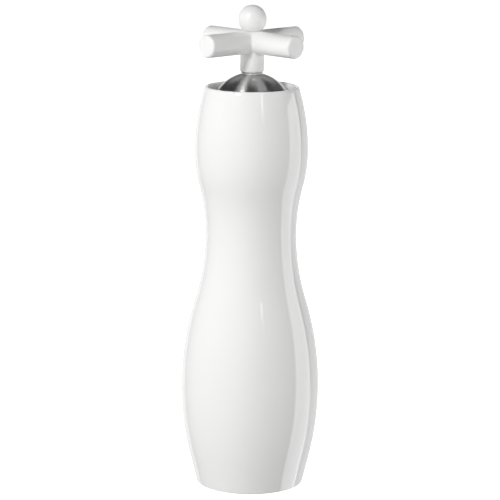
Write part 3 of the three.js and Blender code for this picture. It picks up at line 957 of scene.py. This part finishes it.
def spun_steel():
    """Stainless steel brushed in circles on the lathe."""
    brushed = {"Anisotropic": 0.9, "Anisotropic_Rotation": 0.25}
    material, tree, surface = principled("spun_steel", Metallic=1.0, **brushed)
    rings, broad = lathe_lines(tree, 9000, 6), lathe_lines(tree, 1500, 14)
    tree.links.new(mix(tree, rings, (0.46, 0.46, 0.465), (0.70, 0.70, 0.695)), surface.inputs["Base Color"])
    tree.links.new(spread(tree, broad, 0.24, 0.36), surface.inputs["Roughness"])
    tangent = add(tree, "Tangent", direction_type="RADIAL", axis="Z")
    tree.links.new(tangent.outputs[0], surface.inputs["Tangent"])
    bump(tree, surface, rings, 0.25, 0.00002)
    return material


def machined(name, dark, light, rough, fineness, lines=0.3):
    """Metal with lathe marks and a slightly cloudy surface."""
    material, tree, surface = principled(name, Metallic=1.0)
    rings = lathe_lines(tree, fineness, 8)
    cloud = noise(tree, position(tree), 260, 4)
    tree.links.new(mix(tree, cloud, dark, light), surface.inputs["Base Color"])
    tree.links.new(spread(tree, cloud, rough - 0.08, rough + 0.1), surface.inputs["Roughness"])
    bump(tree, surface, rings, lines, 0.00004)
    return material


def moulded(name, dark, light, rough, grain=1100):
    """Moulded plastic or rubber with a fine matt grain."""
    material, tree, surface = principled(name, IOR=1.5)
    where = position(tree)
    tree.links.new(mix(tree, noise(tree, where, 90, 2), dark, light), surface.inputs["Base Color"])
    roughness = spread(tree, noise(tree, where, 400, 2), rough - 0.06, rough + 0.08)
    tree.links.new(roughness, surface.inputs["Roughness"])
    bump(tree, surface, noise(tree, where, grain, 3), 0.3, 0.00005)
    return material


MATERIALS = {
    "white_lacquer": white_lacquer(),
    "white_satin": white_satin(),
    "spun_steel": spun_steel(),
    "zinc_steel": machined("zinc_steel", (0.52, 0.53, 0.56), (0.68, 0.69, 0.71), 0.34, 5000),
    "hardened_steel": machined("hardened_steel", (0.22, 0.225, 0.23), (0.36, 0.365, 0.37), 0.42, 3500, 0.5),
    "spring_steel": machined("spring_steel", (0.40, 0.40, 0.41), (0.60, 0.60, 0.61), 0.28, 5000, 0.1),
    "insert_brass": machined("insert_brass", (0.66, 0.48, 0.20), (0.83, 0.65, 0.33), 0.3, 5000),
    "white_nylon": moulded("white_nylon", (0.74, 0.74, 0.70), (0.82, 0.82, 0.79), 0.42),
    "black_nylon": moulded("black_nylon", (0.012, 0.012, 0.013), (0.028, 0.028, 0.030), 0.45),
    "seal_rubber": moulded("seal_rubber", (0.50, 0.51, 0.52), (0.60, 0.61, 0.62), 0.5),
}

# ------------------------------------------------------------------ the pieces

PIECES = {  # by the CAD node that each replaces: its name and its builder
    "mill_body": ("body_shell", body_shell),
    "grinder_housing": ("housing", housing),
    "stator_ring": ("stator", stator),
    "guide_bridge": ("bridge", bridge),
    "bridge_bush": ("bridge_bearing", bridge_bush),
    "retaining_bar": ("bar", bar),
    "housing_screw_left": ("screw_left", lambda name: screw(name, "housing_screw_left")),
    "housing_screw_right": ("screw_right", lambda name: screw(name, "housing_screw_right")),
    "dome_cover": ("dome_shell", dome_shell),
    "dome_plug": ("plug", plug),
    "plug_seal": ("seal", seal),
    "dome_bush": ("dome_bearing", dome_bush),
    "bush_nut": ("bearing_nut", lambda name: nut(name, "bush_nut", 5.55)),
    "cross_handle": ("cross", cross),
    "handle_socket": ("socket", socket),
    "handle_washer": ("thrust_washer", lambda name: washer(name, "handle_washer", 4.3)),
    "knob_ball": ("knob", knob),
    "knob_insert": ("insert", insert),
    "spring_washer": ("spring_seat", lambda name: washer(name, "spring_washer", 4.4)),
    "grinder_spring": ("spring", spring),
    "drive_shaft": ("shaft", shaft),
    "rotor": ("grinding_cone", rotor),
    "rotor_washer": ("cone_washer", lambda name: washer(name, "rotor_washer", 2.7)),
    "rotor_nut": ("cone_nut", lambda name: nut(name, "rotor_nut", 2.6)),
}

record = frame["record"]
slots = {part["node"]: part["material_slot"] for part in record["subparts"]}
carriers = {node: body for body, nodes in record["behaviour"]["bodies"].items() for node in nodes}

for node, (name, build) in PIECES.items():
    piece = build(name)
    piece.data.materials.append(MATERIALS[slots[node]])
    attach(piece, carriers[node])
    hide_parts(node)

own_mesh(bpy.data.objects["spring"])

# ------------------------------------------------------------------ the studio


def bearing(turn, rise):
    """The direction from the mill at turn degrees to the right of the camera, and rise degrees up."""
    turn, rise = math.radians(HEADING + turn), math.radians(rise)
    return Vector((math.sin(turn) * math.cos(rise), -math.cos(turn) * math.cos(rise), math.sin(rise)))


def make_camera():
    """A long lens at the photo's angle."""
    camera = bpy.data.objects.new("camera", bpy.data.cameras.new("camera"))
    bpy.context.scene.collection.objects.link(camera)
    camera.data.lens = LENS
    camera.data.sensor_width = SENSOR
    back = bearing(0, PITCH)
    camera.rotation_mode = "QUATERNION"
    tilt = Quaternion((0, 0, 1), math.radians(ROLL))
    camera.rotation_quaternion = (-back).to_track_quat("-Z", "Y") @ tilt
    camera.location = AIM + back * DISTANCE + bearing(90, 0) * SIDESTEP
    bpy.context.scene.camera = camera


def softbox(name, turn, rise, width, height, radiance, glossy=True, away=2.0):
    """A rectangular lamp that faces the mill from turn and rise, of even radiance, unseen by the camera.

    A lamp that isn't glossy lights the mill but doesn't show in its reflections.
    """
    lamp = bpy.data.lights.new(name, "AREA")
    lamp.shape, lamp.size, lamp.size_y = "RECTANGLE", width, height
    lamp.energy = radiance * math.pi * width * height
    made = bpy.data.objects.new(name, lamp)
    bpy.context.scene.collection.objects.link(made)
    out = bearing(turn, rise)
    made.location = AIM + out * away
    made.rotation_mode = "QUATERNION"
    made.rotation_quaternion = (-out).to_track_quat("-Z", "Y")
    made.visible_camera = False
    made.visible_glossy = glossy


def make_floor():
    """A plain pale floor, lit from below as well, like a light table. It is clear from underneath."""
    mesh = bpy.data.meshes.new("floor")
    signs = ((-1, -1), (1, -1), (1, 1), (-1, 1))
    corners = [(x * FLOOR_REACH, y * FLOOR_REACH, FLOOR_Z * MM) for x, y in signs]
    mesh.from_pydata(corners, [], [(0, 1, 2, 3)])
    floor = bpy.data.objects.new("floor", mesh)
    bpy.context.scene.collection.objects.link(floor)
    glow = {"Emission_Color": (1, 1, 1, 1), "Emission_Strength": FLOOR_GLOW}
    material, tree, surface = principled("floor", Base_Color=(0.9, 0.9, 0.9, 1), Roughness=0.9, **glow)
    clear = add(tree, "BsdfTransparent").outputs[0]
    underside = add(tree, "NewGeometry").outputs["Backfacing"]
    both = add(tree, "MixShader", {0: underside, 1: surface.outputs[0], 2: clear}).outputs[0]
    tree.links.new(both, tree.nodes["Material Output"].inputs["Surface"])
    mesh.materials.append(material)
    floor.visible_diffuse = floor.visible_glossy = floor.visible_shadow = False


def make_world():
    """An even studio: bright behind the mill, dimmer as the light that falls on it."""
    world = bpy.data.worlds.new("studio")
    world.use_nodes = True
    tree = world.node_tree
    seen = add(tree, "LightPath").outputs["Is Camera Ray"]
    room = tree.nodes["Background"]
    room.inputs["Color"].default_value = (1, 1, 1, 1)
    tree.links.new(spread(tree, seen, AMBIENT, 1.0), room.inputs["Strength"])
    bpy.context.scene.world = world


make_camera()
make_world()
make_floor()
softbox("main", turn=-36, rise=34, width=0.3, height=0.35, radiance=74.0)
softbox("side", turn=-70, rise=12, width=1.1, height=1.3, radiance=1.9, glossy=False)
softbox("low", turn=-40, rise=-34, width=4.0, height=0.9, radiance=1.7, glossy=False)
softbox("fill", turn=28, rise=12, width=1.5, height=0.9, radiance=2.0, glossy=False)
softbox("high", turn=65, rise=32, width=1.0, height=0.6, radiance=0.8, glossy=False)
softbox("rim", turn=-130, rise=0, width=1.9, height=2.3, radiance=1.8, glossy=False)
softbox("strip", turn=102, rise=-16, width=1.35, height=2.2, radiance=2.4)
softbox("back", turn=170, rise=-16, width=4.0, height=2.6, radiance=0.8)
softbox("streak", turn=24, rise=30, width=0.1, height=1.0, radiance=5.0)
softbox("wide_streak", turn=66, rise=30, width=0.5, height=1.0, radiance=0.4)
bpy.context.scene.view_settings.view_transform = "Standard"
